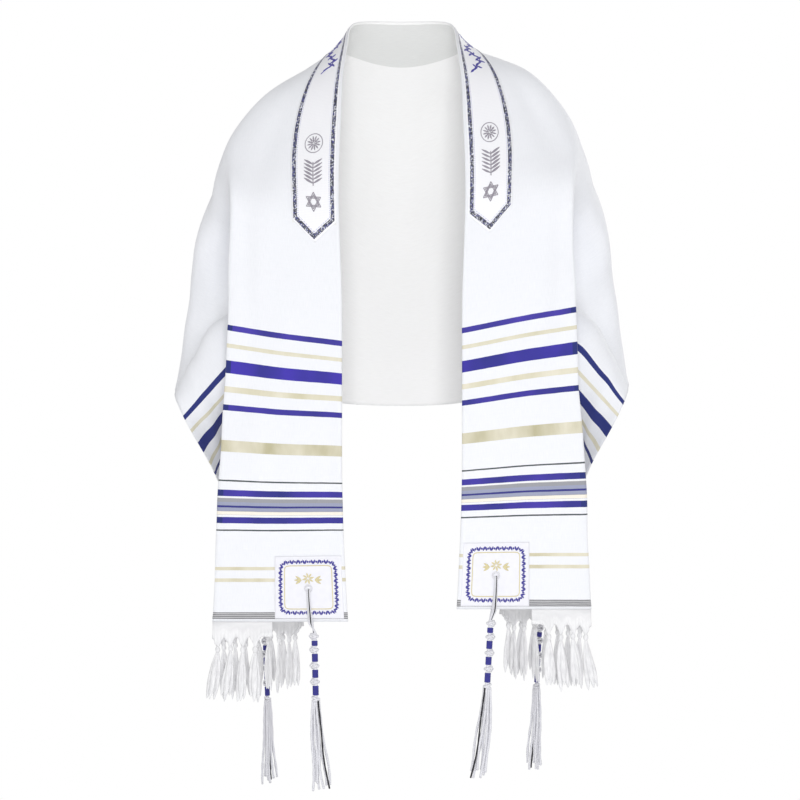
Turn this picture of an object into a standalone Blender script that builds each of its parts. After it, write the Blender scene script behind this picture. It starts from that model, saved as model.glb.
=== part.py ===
"""A tallit prayer shawl, hanging on the shoulders of a wearer who isn't there.

Metres, +Z up; the wearer faces -Y, so +X is the wearer's left.  The origin is the middle of the shawl's
upper edge, at the nape.  The cloth is one rectangle.  A point of it is (along, across): along runs from
the middle to the two ends, negative on the right, and across runs from the neck edge to the hem.
"""

import math

import bpy
import numpy as np

for thing in list(bpy.data.objects):
    bpy.data.objects.remove(thing, do_unlink=True)

# The cut
CLOTH_LENGTH = 1.83
CLOTH_WIDTH = 0.53
WALL = 0.0015  # of the cloth with its hems
TRIM_WALL = 0.0012  # of the neckband and the corner patches
GAP = 0.0003  # between pieces that are sewn together
END_SHIFT = 0.008  # the shawl is worn this much further over to the right

# The drape, as sections across the cloth.  A section's five corners are where it passes the neck edge,
# the front panel's outer fold, the tuck behind it, the wing and the hem.
CORNERS_ACROSS = (0.0, 0.17, 0.29, 0.41, CLOTH_WIDTH)
SECTIONS = [
    # along, then for each corner (out from the middle, back, up)
    (0.000, (0.000, 0.000, 0.000), (0.000, 0.060, -0.135), (0.000, 0.070, -0.265),
     (0.000, 0.065, -0.390), (0.000, 0.060, -0.510)),
    (0.080, (0.060, -0.032, -0.006), (0.086, 0.026, -0.098), (0.080, 0.035, -0.230),
     (0.085, 0.045, -0.365), (0.090, 0.075, -0.505)),
    (0.150, (0.070, -0.093, -0.038), (0.134, -0.022, -0.066), (0.135, 0.000, -0.200),
     (0.155, 0.045, -0.340), (0.160, 0.090, -0.490)),
    (0.210, (0.075, -0.137, -0.088), (0.180, -0.070, -0.080), (0.195, 0.005, -0.180),
     (0.200, 0.080, -0.320), (0.210, 0.120, -0.480)),
    (0.270, (0.077, -0.165, -0.142), (0.215, -0.090, -0.135), (0.250, 0.000, -0.205),
     (0.260, 0.085, -0.320), (0.265, 0.130, -0.475)),
    (0.330, (0.079, -0.185, -0.200), (0.224, -0.115, -0.187), (0.250, -0.025, -0.255),
     (0.285, 0.050, -0.355), (0.305, 0.090, -0.480)),
    (0.390, (0.079, -0.196, -0.259), (0.220, -0.150, -0.235), (0.195, -0.015, -0.290),
     (0.240, 0.020, -0.380), (0.297, 0.030, -0.498)),
    (0.450, (0.077, -0.202, -0.319), (0.221, -0.155, -0.298), (0.140, -0.035, -0.325),
     (0.240, -0.040, -0.395), (0.295, -0.025, -0.494)),
    (0.510, (0.075, -0.205, -0.382), (0.223, -0.160, -0.357), (0.115, -0.060, -0.375),
     (0.245, -0.095, -0.405), (0.293, -0.078, -0.494)),
    (0.570, (0.075, -0.206, -0.442), (0.225, -0.165, -0.418), (0.095, -0.075, -0.435),
     (0.210, -0.115, -0.460), (0.277, -0.095, -0.530)),
    (0.640, (0.075, -0.206, -0.507), (0.229, -0.165, -0.491), (0.080, -0.090, -0.510),
     (0.215, -0.070, -0.510), (0.250, -0.035, -0.587)),
    (0.720, (0.075, -0.206, -0.583), (0.234, -0.168, -0.575), (0.095, -0.060, -0.585),
     (0.220, 0.000, -0.570), (0.235, 0.040, -0.625)),
    (0.810, (0.073, -0.206, -0.669), (0.239, -0.162, -0.670), (0.115, -0.040, -0.670),
     (0.225, 0.030, -0.655), (0.185, 0.090, -0.675)),
    (0.915, (0.068, -0.203, -0.771), (0.244, -0.155, -0.775), (0.125, -0.020, -0.773),
     (0.215, 0.020, -0.772), (0.160, 0.100, -0.769)),
]
SOFT_BEND = 0.035  # how far across the cloth it turns over a corner, at the back
FOLD_BENDS = (0.0055, 0.0055, 0.008, 0.014, 0.014)  # and in the folds of the front panels
SOFT_UNTIL, FOLD_FROM = 0.20, 0.42  # along, where the one becomes the other
LEFT_LIFT = dict(up=(-0.77, -0.50, -0.40, -0.20, -0.05), lift=(0.0, 0.004, 0.003, 0.007, 0.011))
LIFT_FROM, LIFT_TO = 0.06, 0.17  # out from the middle, where the left side rises and the right one sinks

# The cloth's mesh lines
ALONG_LINES = (0.0, 0.022, 0.042, 0.058, 0.074, 0.092, 0.112, 0.134, 0.158, 0.182, 0.208, 0.235, 0.262,
               0.290, 0.318, 0.345, 0.372, 0.400, 0.425, 0.450, 0.478, 0.508, 0.538, 0.568, 0.598, 0.628,
               0.660, 0.695, 0.730, 0.765, 0.800)  # the patches' lines and the end follow
ACROSS_LINES = (0.0, 0.004, 0.027, 0.0495, 0.072, 0.0885, 0.115, 0.140, 0.156, 0.164, 0.170, 0.176, 0.184,
                0.204, 0.230, 0.255, 0.275, 0.284, 0.290, 0.296, 0.305, 0.328, 0.355, 0.380, 0.396, 0.404,
                0.410, 0.416, 0.422, 0.447, 0.473, 0.499, 0.525, CLOTH_WIDTH)

# The neckband, outside the neck edge and down both fronts to a point
BAND_FROM, BAND_TO = 0.004, 0.072  # across
BAND_CORNER, BAND_POINT = 0.407, 0.434  # along, from its middle
BAND_SHIFT = -0.004  # of its middle, to the right

# The corner patches
PATCH_LONG = 0.081
PATCH_INSET = 0.004  # from the cloth's end
FRONT_PATCH = (0.004, 0.0885)  # across
REAR_PATCH = (0.422, 0.525)
EYELET_ALONG = 0.043  # from the cloth's end

# The fringe: a narrow woven heading with knotted bundles
HEADING_FROM, HEADING_TO = 0.092, 0.418  # across
HEADING_DROP = 0.022
BUNDLES_ACROSS = (0.113, 0.1285, 0.144, 0.1595, 0.187, 0.2005, 0.214, 0.2275, 0.241, 0.2545, 0.268,
                  0.311, 0.334, 0.357, 0.380)
TAIL_WIDTH = 0.0036
TAIL_SPLIT = 0.0006  # between the two tails of a bundle, at the heading
# down the tail, spread from the bundle's middle, width, depth
FRINGE_TAIL = [(0.006, 0.0022, 0.0028, 0.0026), (0.018, 0.0019, 0.0026, 0.0030),
               (0.038, 0.0032, 0.0046, 0.0036), (0.060, 0.0042, 0.0056, 0.0038),
               (0.080, 0.0046, 0.0040, 0.0026)]
TAIL_LONG = FRINGE_TAIL[-1][0]

# The tzitzit: knotted and wound cords through each patch's eyelet, with eight tails
CORD_WIDTH, CORD_DEPTH = 0.0042, 0.0018
HEAD_WIDTH, HEAD_DEPTH = 0.0078, 0.0056
# down the head, thickness as a share of the head's
HEAD_PROFILE = [(0.000, 1.0), (0.004, 1.22), (0.009, 0.80), (0.017, 0.80), (0.021, 1.18), (0.026, 0.80),
                (0.037, 0.80), (0.041, 1.18), (0.046, 0.78), (0.057, 0.78), (0.061, 1.18), (0.066, 0.76),
                (0.080, 0.76), (0.086, 1.15)]
TAIL_LENGTH = 0.110
# out from the eyelet, at the head's top, its end and the tails' tips; head_top is down from the eyelet
TZITZIT = [
    dict(name="tzitzit_front_right", side=-1, front=True, head_top=0.056, sway=(-0.006, -0.008, -0.016)),
    dict(name="tzitzit_front_left", side=1, front=True, head_top=0.056, sway=(-0.005, -0.010, -0.022)),
    dict(name="tzitzit_rear_right", side=-1, front=False, head_top=0.090, sway=(0.000, -0.006, -0.010)),
    dict(name="tzitzit_rear_left", side=1, front=False, head_top=0.090, sway=(0.000, -0.008, -0.014)),
]

WHITE_WOOL = (0.90, 0.91, 0.93)
BAND_WHITE = (0.88, 0.88, 0.90)
FRINGE_WHITE = (0.80, 0.80, 0.80)
CORD_WHITE = (0.76, 0.76, 0.78)


def smooth_step(x, low, high):
    t = np.clip((x - low) / (high - low), 0.0, 1.0)
    return t * t * (3 - 2 * t)


def natural_spline(knots, values, at):
    """Values at each place of `at`, on the smooth curve through the knots."""
    count = len(knots)
    gap = np.diff(knots)
    flat = values.reshape(count, -1)
    slope = np.diff(flat, axis=0) / gap[:, None]
    system = np.eye(count)
    right = np.zeros_like(flat)
    for i in range(1, count - 1):
        system[i, i - 1:i + 2] = gap[i - 1], 2 * (gap[i - 1] + gap[i]), gap[i]
        right[i] = 6 * (slope[i] - slope[i - 1])
    bend = np.linalg.solve(system, right)
    i = np.clip(np.searchsorted(knots, at) - 1, 0, count - 2)
    h = gap[i][:, None]
    a = (knots[i + 1] - at)[:, None] / h
    b = 1 - a
    curve = a * flat[i] + b * flat[i + 1]
    curve += ((a ** 3 - a) * bend[i] + (b ** 3 - b) * bend[i + 1]) * h * h / 6
    return curve.reshape(len(at), *values.shape[1:])


FINE_ACROSS = np.linspace(0, CLOTH_WIDTH, 531)  # a section's points, 1 mm apart
SOFT_REACH = 110  # how many of them, past an edge, the bend takes in


def soft_sections():
    """Each section of the table as a line that turns gently over its corners."""
    step = FINE_ACROSS[1]
    more = np.arange(1, SOFT_REACH + 1) * step
    place = np.concatenate([-more[::-1], FINE_ACROSS, CLOTH_WIDTH + more])
    fold = np.interp(FINE_ACROSS, CORNERS_ACROSS, FOLD_BENDS)
    found = []
    for along, *corners in SECTIONS:
        corners = np.array(corners)
        line = np.stack([np.interp(FINE_ACROSS, CORNERS_ACROSS, corners[:, k]) for k in range(3)], axis=1)
        before = 2 * line[0] - line[SOFT_REACH:0:-1]
        after = 2 * line[-1] - line[-2:-SOFT_REACH - 2:-1]
        bend = SOFT_BEND * (fold / SOFT_BEND) ** smooth_step(along, SOFT_UNTIL, FOLD_FROM)
        share = np.exp(-0.5 * ((place[None] - FINE_ACROSS[:, None]) / bend[:, None]) ** 2)
        share /= share.sum(axis=1, keepdims=True)
        found.append(share @ np.vstack([before, line, after]))
    return np.array(found)


def cloth_points(along, across):
    """Points of the cloth's middle layer, as len(along) x len(across) x 3."""
    along = np.asarray(along, float)
    half = soft_sections()
    knots = np.array([row[0] for row in SECTIONS])
    knots = np.concatenate([-knots[:0:-1], knots])
    both = np.concatenate([half[:0:-1] * (-1, 1, 1), half])
    fine = natural_spline(knots, both, along)
    place = np.asarray(across) / FINE_ACROSS[1]
    low = np.clip(place.astype(int), 0, len(FINE_ACROSS) - 2)
    share = (place - low)[None, :, None]
    points = fine[:, low] * (1 - share) + fine[:, low + 1] * share
    out, up = points[..., 0], points[..., 2]
    lift = np.interp(up, LEFT_LIFT["up"], LEFT_LIFT["lift"])
    points[..., 2] += lift * np.sign(out) * smooth_step(np.abs(out), LIFT_FROM, LIFT_TO)
    return points


def outward(points):
    """The unit normals of a grid of cloth points, away from the wearer."""
    a = np.gradient(points, axis=0)
    b = np.gradient(points, axis=1)
    normal = np.cross(a, b)
    return normal / np.linalg.norm(normal, axis=2, keepdims=True)


def end_of(side):
    """Where the cloth ends on that side, along."""
    return side * (CLOTH_LENGTH / 2) - END_SHIFT


def along_lines():
    patch = [PATCH_INSET + PATCH_LONG * k / 4 for k in range(5)]
    right = [end_of(-1)] + [end_of(-1) + x for x in patch] + [-x for x in ALONG_LINES[:0:-1]]
    left = list(ALONG_LINES) + [end_of(1) - x for x in patch[::-1]] + [end_of(1)]
    return np.array(right + left)


LINES = along_lines()
COLUMNS = np.array(ACROSS_LINES)
MIDDLE = cloth_points(LINES, COLUMNS)
NORMAL = outward(MIDDLE)


def on_cloth(along, across, off=0.0):
    """A point of the cloth's mesh, moved out from its middle layer by `off`."""
    i = int(np.clip(np.searchsorted(LINES, along) - 1, 0, len(LINES) - 2))
    j = int(np.clip(np.searchsorted(COLUMNS, across) - 1, 0, len(COLUMNS) - 2))
    a = (along - LINES[i]) / (LINES[i + 1] - LINES[i])
    b = (across - COLUMNS[j]) / (COLUMNS[j + 1] - COLUMNS[j])
    grid = MIDDLE[i:i + 2, j:j + 2] + NORMAL[i:i + 2, j:j + 2] * off
    return (grid[0, 0] * (1 - a) + grid[1, 0] * a) * (1 - b) + (grid[0, 1] * (1 - a) + grid[1, 1] * a) * b


class Body:
    """The points and faces of one closed solid."""

    def __init__(self):
        self.points = []
        self.faces = []

    def add(self, points):
        first = len(self.points)
        self.points += [tuple(float(x) for x in p) for p in points]
        return list(range(first, len(self.points)))

    def sheet(self, outer, inner):
        """A thin wall between two grids of points.  Gives the faces of its rims by (edge, place)."""
        rows, columns = outer.shape[:2]
        o = np.array(self.add(outer.reshape(-1, 3))).reshape(rows, columns)
        n = np.array(self.add(inner.reshape(-1, 3))).reshape(rows, columns)
        for i in range(rows - 1):
            for j in range(columns - 1):
                self.faces.append((o[i, j], o[i + 1, j], o[i + 1, j + 1], o[i, j + 1]))
                self.faces.append((n[i, j], n[i, j + 1], n[i + 1, j + 1], n[i + 1, j]))
        rims = {}
        for i in range(rows - 1):
            rims["neck", i] = (o[i, 0], n[i, 0], n[i + 1, 0], o[i + 1, 0])
            rims["hem", i] = (o[i, -1], o[i + 1, -1], n[i + 1, -1], n[i, -1])
        for j in range(columns - 1):
            rims["first", j] = (o[0, j], o[0, j + 1], n[0, j + 1], n[0, j])
            rims["last", j] = (o[-1, j], n[-1, j], n[-1, j + 1], o[-1, j + 1])
        self.faces += rims.values()
        return rims

    def grow(self, face, axes, path):
        """A four-sided strand out of a face.  A row of the path is its middle, width and depth."""
        self.faces.remove(face)
        middle = np.mean([self.points[k] for k in face], axis=0)
        corners = [np.array(self.points[k]) - middle for k in face]
        signs = [(math.copysign(0.5, c @ axes[0]), math.copysign(0.5, c @ axes[1])) for c in corners]
        ring = list(face)
        for place, width, depth in path:
            new = self.add([place + axes[0] * s * width + axes[1] * t * depth for s, t in signs])
            for k in range(4):
                self.faces.append((ring[k], ring[k - 3], new[k - 3], new[k]))
            ring = new
        self.faces.append(tuple(ring))

    def make(self, name, colour, roughness):
        mesh = bpy.data.meshes.new(name)
        mesh.from_pydata(self.points, [], [tuple(int(k) for k in face) for face in self.faces])
        mesh.update()
        material = bpy.data.materials.new(name)
        material.use_nodes = True
        shader = material.node_tree.nodes["Principled BSDF"]
        shader.inputs["Base Color"].default_value = (*colour, 1)
        shader.inputs["Roughness"].default_value = roughness
        shader.inputs["Metallic"].default_value = 0.0
        mesh.materials.append(material)
        thing = bpy.data.objects.new(name, mesh)
        bpy.context.scene.collection.objects.link(thing)


def make_cloth():
    body = Body()
    body.sheet(MIDDLE + NORMAL * WALL / 2, MIDDLE - NORMAL * WALL / 2)
    body.make("shawl_cloth", WHITE_WOOL, 0.85)


def make_neckband():
    """A band on the outside of the cloth, with a pointed end on each front."""
    columns = [x for x in ACROSS_LINES if BAND_FROM - 1e-9 <= x <= BAND_TO + 1e-9]
    centre = (BAND_FROM + BAND_TO) / 2
    taper = [(BAND_CORNER, 1.0), (0.5 * (BAND_CORNER + BAND_POINT), 0.54), (BAND_POINT, 0.06)]
    rows = [(x, 1.0) for x in LINES if abs(x - BAND_SHIFT) < BAND_CORNER - 0.002]
    rows += [(BAND_SHIFT + side * x, s) for side in (-1, 1) for x, s in taper]
    rows.sort()
    low = WALL / 2 + GAP
    grids = [np.array([[on_cloth(x, centre + (c - centre) * s, off) for c in columns] for x, s in rows])
             for off in (low + TRIM_WALL, low)]
    body = Body()
    body.sheet(*grids)
    body.make("neckband", BAND_WHITE, 0.6)


def make_patch(name, side, front):
    """A square of cloth on the outside of a corner."""
    end = end_of(side)
    rows = sorted(end - side * (PATCH_INSET + PATCH_LONG * k / 4) for k in range(5))
    low, high = FRONT_PATCH if front else REAR_PATCH
    columns = [x for x in ACROSS_LINES if low - 1e-9 <= x <= high + 1e-9]
    off = WALL / 2 + GAP
    grids = [np.array([[on_cloth(x, c, out) for c in columns] for x in rows])
             for out in (off + TRIM_WALL, off)]
    body = Body()
    body.sheet(*grids)
    body.make(name, WHITE_WOOL, 0.7)


def make_fringe(name, side):
    """A heading that hangs edge to edge from the cloth's end, and its bundles of two tails."""
    reach = TAIL_WIDTH + TAIL_SPLIT / 2
    cuts = [x + k for x in BUNDLES_ACROSS for k in (-reach, -TAIL_SPLIT / 2, TAIL_SPLIT / 2, reach)]
    folds = [x for x in ACROSS_LINES if HEADING_FROM < x < HEADING_TO
             and min(abs(x - c) for c in cuts) > 0.002
             and min(abs(x - b) for b in BUNDLES_ACROSS) > reach]
    columns = np.array(sorted([HEADING_FROM, *cuts, *folds, HEADING_TO]))
    end = end_of(side)
    top = np.array([on_cloth(end, x) for x in columns]) - (0, 0, 0.0005)
    tangent = np.gradient(top, axis=0) * (1, 1, 0)
    tangent /= np.linalg.norm(tangent, axis=1, keepdims=True)
    normal = np.cross((0, 0, -side), tangent)
    low = top.copy()
    low[:, 2] = top[:, 2] - HEADING_DROP
    rows = np.array([top, low][::side])
    off = normal[None] * WALL / 2
    body = Body()
    rims = body.sheet(rows + off, rows - off)
    for number, across in enumerate(BUNDLES_ACROSS):
        for tail in (-1, 1):
            j = int(np.argmin(np.abs(columns - (across - reach if tail < 0 else across + TAIL_SPLIT / 2))))
            face = rims["last" if side > 0 else "first", j]
            middle = np.mean([body.points[k] for k in face], axis=0)
            axes = tangent[j], normal[j]
            centre = middle - axes[0] * tail * (TAIL_WIDTH + TAIL_SPLIT) / 2
            longer = 1 + 0.06 * math.sin(2.3 * number + tail)
            swing = 0.0012 * math.sin(1.7 * number + 0.6)
            path = []
            for down, spread, width, depth in FRINGE_TAIL:
                share = down / TAIL_LONG
                sideways = axes[0] * (tail * spread + swing * share)
                forwards = axes[1] * 0.0015 * tail * share
                fall = np.array((0, 0, -down * longer))
                path.append((centre + sideways + forwards + fall, width, depth))
            body.grow(face, axes, path)
    body.make(name, FRINGE_WHITE, 0.8)


def disc_point(x, y):
    """A square's point, from -1 to 1, moved to its place in a round."""
    return x * math.sqrt(1 - y * y / 2), y * math.sqrt(1 - x * x / 2)


def make_tzitzit(name, side, front, head_top, sway):
    """The cords through a patch's eyelet, their knotted and wound head, and eight tails."""
    end = end_of(side)
    across = sum(FRONT_PATCH if front else REAR_PATCH) / 2
    edge = on_cloth(end, across)
    tangent = on_cloth(end, across + 0.02) - on_cloth(end, across - 0.02)
    tangent = tangent * (1, 1, 0)
    tangent /= np.linalg.norm(tangent)
    if tangent[0] * side < 0:
        tangent = -tangent
    out = np.cross(tangent, (0, 0, side))
    if out @ (on_cloth(end, across, 0.01) - edge) < 0:
        out = -out
    eyelet = on_cloth(end - side * EYELET_ALONG, across)
    grid = [(x, y) for y in (-1, 0, 1) for x in (-1, -0.5, 0, 0.5, 1)]
    handed = np.cross(tangent, out)[2] > 0
    body = Body()
    layers = []
    last = HEAD_PROFILE[-1][0]
    for down, thick in HEAD_PROFILE:
        lean = sway[0] + (sway[1] - sway[0]) * down / last
        centre = np.array((edge[0], edge[1], eyelet[2] - head_top - down)) + tangent * lean
        wanted = grid if down in (0.0, last) else [p for p in grid if max(abs(p[0]), abs(p[1])) == 1]
        rounds = [disc_point(*p) for p in wanted]
        new = body.add([centre + tangent * x * thick * HEAD_WIDTH / 2 + out * y * thick * HEAD_DEPTH / 2
                        for x, y in rounds])
        layers.append(dict(zip(wanted, new)))
    ring = ([(x, -1) for x in (-1, -0.5, 0, 0.5, 1)] + [(1, 0)] + [(x, 1) for x in (1, 0.5, 0, -0.5, -1)]
            + [(-1, 0)])
    for upper, lower in zip(layers, layers[1:]):
        for a, b in zip(ring, ring[1:] + ring[:1]):
            quad = (upper[a], lower[a], lower[b], upper[b])
            body.faces.append(quad if handed else quad[::-1])
    cells = {}
    for cap, top in ((layers[0], True), (layers[-1], False)):
        for y in (-1, 0):
            for x in (-1, -0.5, 0, 0.5):
                quad = (cap[x, y], cap[x + 0.5, y], cap[x + 0.5, y + 1], cap[x, y + 1])
                quad = quad if handed == top else quad[::-1]
                body.faces.append(quad)
                cells[top, x, y] = quad
    axes = tangent, out
    # the two runs of cord up to the eyelet, over the patch and behind the cloth
    over = WALL / 2 + GAP + TRIM_WALL + GAP + 0.0003 + CORD_DEPTH / 2
    under = -(WALL / 2 + GAP + 0.0003 + CORD_DEPTH / 2)
    for cell, off in (((0, 0), over), ((0, -1), under)):
        face = cells[(True, *cell)]
        middle = np.mean([body.points[k] for k in face], axis=0)
        path = [(middle, 0.0010, 0.0012)]
        below = on_cloth(end, across, off) - (0, 0, 0.006)
        path.append(((middle + below) / 2 + out * (off * 0.4), CORD_WIDTH * 0.8, CORD_DEPTH * 0.9))
        path.append((below, CORD_WIDTH, CORD_DEPTH))
        for up in (0.0, 0.012, 0.024, 0.036, EYELET_ALONG):
            path.append((on_cloth(end - side * up, across, off), CORD_WIDTH, CORD_DEPTH))
        body.grow(face, axes, path)
    for (top, x, y), face in list(cells.items()):
        if top:
            continue
        middle = np.mean([body.points[k] for k in face], axis=0)
        wide = 0.0017
        path = [(middle, wide * 0.5, wide * 0.6)]
        longer = 1 + 0.05 * math.sin(5 * x + 3 * y + side)
        for share in (0.12, 0.4, 0.7, 1.0):
            drift = (sway[2] - sway[1]) * share ** 1.5 + (x + 0.25) * 0.0145 * share ** 0.8
            depth = (y + 0.5) * 0.007 * share ** 0.8
            fall = np.array((0, 0, -TAIL_LENGTH * share * longer))
            path.append((middle + tangent * drift + out * depth + fall,
                         wide * (1 + 0.5 * share), wide * (1 + 0.4 * share)))
        body.grow(face, axes, path)
    body.make(name, CORD_WHITE, 0.7)


make_cloth()
make_neckband()
for side, word in ((-1, "right"), (1, "left")):
    make_patch("patch_front_" + word, side, True)
    make_patch("patch_rear_" + word, side, False)
    make_fringe("fringe_" + word, side)
for row in TZITZIT:
    make_tzitzit(**row)
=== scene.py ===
import functools
import math
import random

import bpy
import numpy as np
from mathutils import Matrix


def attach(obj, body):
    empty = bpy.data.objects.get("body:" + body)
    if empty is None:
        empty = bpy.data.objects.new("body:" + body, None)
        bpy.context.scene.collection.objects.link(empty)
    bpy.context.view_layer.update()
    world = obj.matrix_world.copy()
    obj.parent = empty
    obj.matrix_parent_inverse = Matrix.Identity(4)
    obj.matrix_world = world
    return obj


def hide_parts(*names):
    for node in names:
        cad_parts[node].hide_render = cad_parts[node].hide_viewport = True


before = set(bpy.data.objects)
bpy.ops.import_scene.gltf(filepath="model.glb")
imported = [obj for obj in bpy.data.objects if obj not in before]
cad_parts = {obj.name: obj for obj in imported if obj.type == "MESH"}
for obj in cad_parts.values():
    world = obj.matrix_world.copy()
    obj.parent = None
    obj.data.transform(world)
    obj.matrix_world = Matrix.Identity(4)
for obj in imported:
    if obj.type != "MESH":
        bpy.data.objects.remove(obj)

print("frame loaded")
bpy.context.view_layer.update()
wallOut = 0.0006  # the visible cloth's half thickness
tau = 2 * math.pi


# The drape: the same rectangle and sections as the solids, in metres
drape = {
    "length": 1.83, "width": 0.53,
    "endShift": 0.008,  # the cloth is worn this far off centre
    "cornersAcross": (0.0, 0.17, 0.29, 0.41, 0.53),  # neck edge, outer fold, tuck, wing, hem
    "softBend": 0.035,  # the blur that rounds the corners over the neck and shoulders
    "foldBends": (0.0055, 0.0055, 0.008, 0.014, 0.014),  # and lower down, where they are folds
    "softUntil": 0.20, "foldFrom": 0.42,
    "liftUp": (-0.77, -0.50, -0.40, -0.20, -0.05),  # the wearer's left side stands higher, by height
    "liftBy": (0.0, 0.004, 0.003, 0.007, 0.011),
    "liftBetween": (0.06, 0.17),
}
# along, then for each corner (out from the middle, back, up)
sections = [
    (0.000, (0.000, 0.000, 0.000), (0.000, 0.060, -0.135), (0.000, 0.070, -0.265),
     (0.000, 0.065, -0.390), (0.000, 0.060, -0.510)),
    (0.080, (0.060, -0.032, -0.006), (0.086, 0.026, -0.098), (0.080, 0.035, -0.230),
     (0.085, 0.045, -0.365), (0.090, 0.075, -0.505)),
    (0.150, (0.070, -0.093, -0.038), (0.134, -0.022, -0.066), (0.135, 0.000, -0.200),
     (0.155, 0.045, -0.340), (0.160, 0.090, -0.490)),
    (0.210, (0.075, -0.137, -0.088), (0.180, -0.070, -0.080), (0.195, 0.005, -0.180),
     (0.200, 0.080, -0.320), (0.210, 0.120, -0.480)),
    (0.270, (0.077, -0.165, -0.142), (0.215, -0.090, -0.135), (0.250, 0.000, -0.205),
     (0.260, 0.085, -0.320), (0.265, 0.130, -0.475)),
    (0.330, (0.079, -0.185, -0.200), (0.224, -0.115, -0.187), (0.250, -0.025, -0.255),
     (0.285, 0.050, -0.355), (0.305, 0.090, -0.480)),
    (0.390, (0.079, -0.196, -0.259), (0.220, -0.150, -0.235), (0.195, -0.015, -0.290),
     (0.240, 0.020, -0.380), (0.297, 0.030, -0.498)),
    (0.450, (0.077, -0.202, -0.319), (0.221, -0.155, -0.298), (0.140, -0.035, -0.325),
     (0.240, -0.040, -0.395), (0.295, -0.025, -0.494)),
    (0.510, (0.075, -0.205, -0.382), (0.223, -0.160, -0.357), (0.115, -0.060, -0.375),
     (0.245, -0.095, -0.405), (0.293, -0.078, -0.494)),
    (0.570, (0.075, -0.206, -0.442), (0.225, -0.165, -0.418), (0.095, -0.075, -0.435),
     (0.210, -0.115, -0.460), (0.277, -0.095, -0.530)),
    (0.640, (0.075, -0.206, -0.507), (0.229, -0.165, -0.491), (0.080, -0.090, -0.510),
     (0.215, -0.070, -0.510), (0.250, -0.035, -0.587)),
    (0.720, (0.075, -0.206, -0.583), (0.234, -0.168, -0.575), (0.095, -0.060, -0.585),
     (0.220, 0.000, -0.570), (0.235, 0.040, -0.625)),
    (0.810, (0.073, -0.206, -0.669), (0.239, -0.162, -0.670), (0.115, -0.040, -0.670),
     (0.225, 0.030, -0.655), (0.185, 0.090, -0.675)),
    (0.915, (0.068, -0.203, -0.771), (0.244, -0.155, -0.775), (0.125, -0.020, -0.773),
     (0.215, 0.020, -0.772), (0.160, 0.100, -0.769)),
]


def smoothStep(x, low, high):
    t = np.clip((np.asarray(x, float) - low) / (high - low), 0.0, 1.0)
    return t * t * (3 - 2 * t)


# A smooth curve through the values at the knots, straight past its ends
def naturalSpline(knots, values, at):
    count = len(knots)
    gap = np.diff(knots)
    flat = values.reshape(count, -1)
    slope = np.diff(flat, axis=0) / gap[:, None]
    system = np.eye(count)
    right = np.zeros_like(flat)
    for i in range(1, count - 1):
        system[i, i - 1:i + 2] = gap[i - 1], 2 * (gap[i - 1] + gap[i]), gap[i]
        right[i] = 6 * (slope[i] - slope[i - 1])
    bend = np.linalg.solve(system, right)
    i = np.clip(np.searchsorted(knots, at) - 1, 0, count - 2)
    h = gap[i][:, None]
    a = (knots[i + 1] - at)[:, None] / h
    b = 1 - a
    curve = a * flat[i] + b * flat[i + 1] + ((a ** 3 - a) * bend[i] + (b ** 3 - b) * bend[i + 1]) * h * h / 6
    return curve.reshape(len(at), *values.shape[1:])


fineAcross = np.linspace(0, drape["width"], 531)  # a section's points, 1 mm apart
softReach = 110  # how many of them, past an edge, the bend takes in


def softSections():
    step = fineAcross[1]
    more = np.arange(1, softReach + 1) * step
    place = np.concatenate([-more[::-1], fineAcross, drape["width"] + more])
    fold = np.interp(fineAcross, drape["cornersAcross"], drape["foldBends"])
    found = []
    for along, *corners in sections:
        corners = np.array(corners)
        line = [np.interp(fineAcross, drape["cornersAcross"], corners[:, k]) for k in range(3)]
        line = np.stack(line, axis=1)
        before = 2 * line[0] - line[softReach:0:-1]
        after = 2 * line[-1] - line[-2:-softReach - 2:-1]
        turn = smoothStep(along, drape["softUntil"], drape["foldFrom"])
        bend = drape["softBend"] * (fold / drape["softBend"]) ** turn
        share = np.exp(-0.5 * ((place[None] - fineAcross[:, None]) / bend[:, None]) ** 2)
        share /= share.sum(axis=1, keepdims=True)
        found.append(share @ np.vstack([before, line, after]))
    return np.array(found)


def clothPoints(along, across):
    half = softSections()
    knots = np.array([row[0] for row in sections])
    knots = np.concatenate([-knots[:0:-1], knots])
    both = np.concatenate([half[:0:-1] * (-1, 1, 1), half])
    fine = naturalSpline(knots, both, along)
    place = across / fineAcross[1]
    low = np.clip(place.astype(int), 0, len(fineAcross) - 2)
    share = (place - low)[None, :, None]
    points = fine[:, low] * (1 - share) + fine[:, low + 1] * share
    out, up = points[..., 0], points[..., 2]
    lift = np.interp(up, drape["liftUp"], drape["liftBy"])
    points[..., 2] += lift * np.sign(out) * smoothStep(np.abs(out), *drape["liftBetween"])
    return points


def outward(points):
    normal = np.cross(np.gradient(points, axis=0), np.gradient(points, axis=1))
    return normal / np.linalg.norm(normal, axis=2, keepdims=True)


def endOf(side):
    return side * drape["length"] / 2 - drape["endShift"]


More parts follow.
